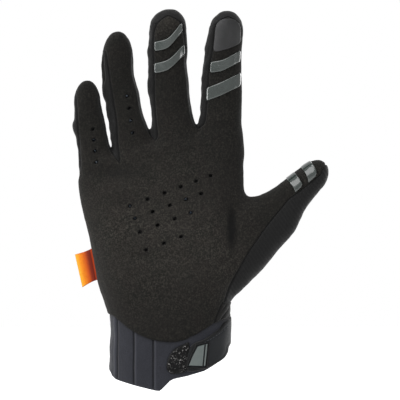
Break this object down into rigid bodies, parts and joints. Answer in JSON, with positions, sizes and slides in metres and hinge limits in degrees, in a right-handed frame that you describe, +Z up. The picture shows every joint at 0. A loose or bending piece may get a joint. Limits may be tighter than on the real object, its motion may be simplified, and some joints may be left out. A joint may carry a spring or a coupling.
{
  "type": "cycling glove",
  "caption": "Full-finger cycling glove for the right hand, hollow and upright in its worn form, with suede palm, knit back, silicone grips and strapped neoprene cuff.",
  "frame": {"origin": "middle of the cuff's mouth, where the hand goes in, at the level of the lowest hem", "axes": "+Z up along the hand to the fingertips, -Y out of the palm, +X to the side of the thumb"},
  "size_m": [0.1577, 0.057, 0.2347],
  "materials": {
    "suede": "fine matt napped suede",
    "mesh": "fine mesh",
    "knit": "matt stretch knit",
    "silicone": "glossy raised silicone",
    "pad": "smooth film",
    "neoprene": "cloth-faced foam",
    "elastic": "gathered elastic",
    "webbing": "cloth-faced strap",
    "hook": "ribbed moulded plastic",
    "badge": "satin moulded rubber",
    "ribbon": "satin ribbon"
  },
  "bodies": {
    "root": {"palm_panel": "suede", "palm_lining": "mesh", "thumb_back_panel": "knit", "little_side_panel": "knit", "fourchette_ring_little": "knit", "fourchette_middle_ring": "knit", "fourchette_index_middle": "knit", "back_panel": "knit", "grip_middle_upper": "silicone", "grip_middle_lower": "silicone", "grip_index_upper": "silicone", "grip_index_lower": "silicone", "grip_thumb_outer": "silicone", "grip_thumb_inner": "silicone", "touch_patch": "pad", "cuff": "neoprene", "wrist_gather": "elastic", "wrist_strap": "webbing", "strap_hook_tip": "hook", "strap_badge_frame": "hook", "strap_badge": "badge", "strap_badge_stripe": "badge", "side_label": "ribbon"}
  },
  "joints": []
}
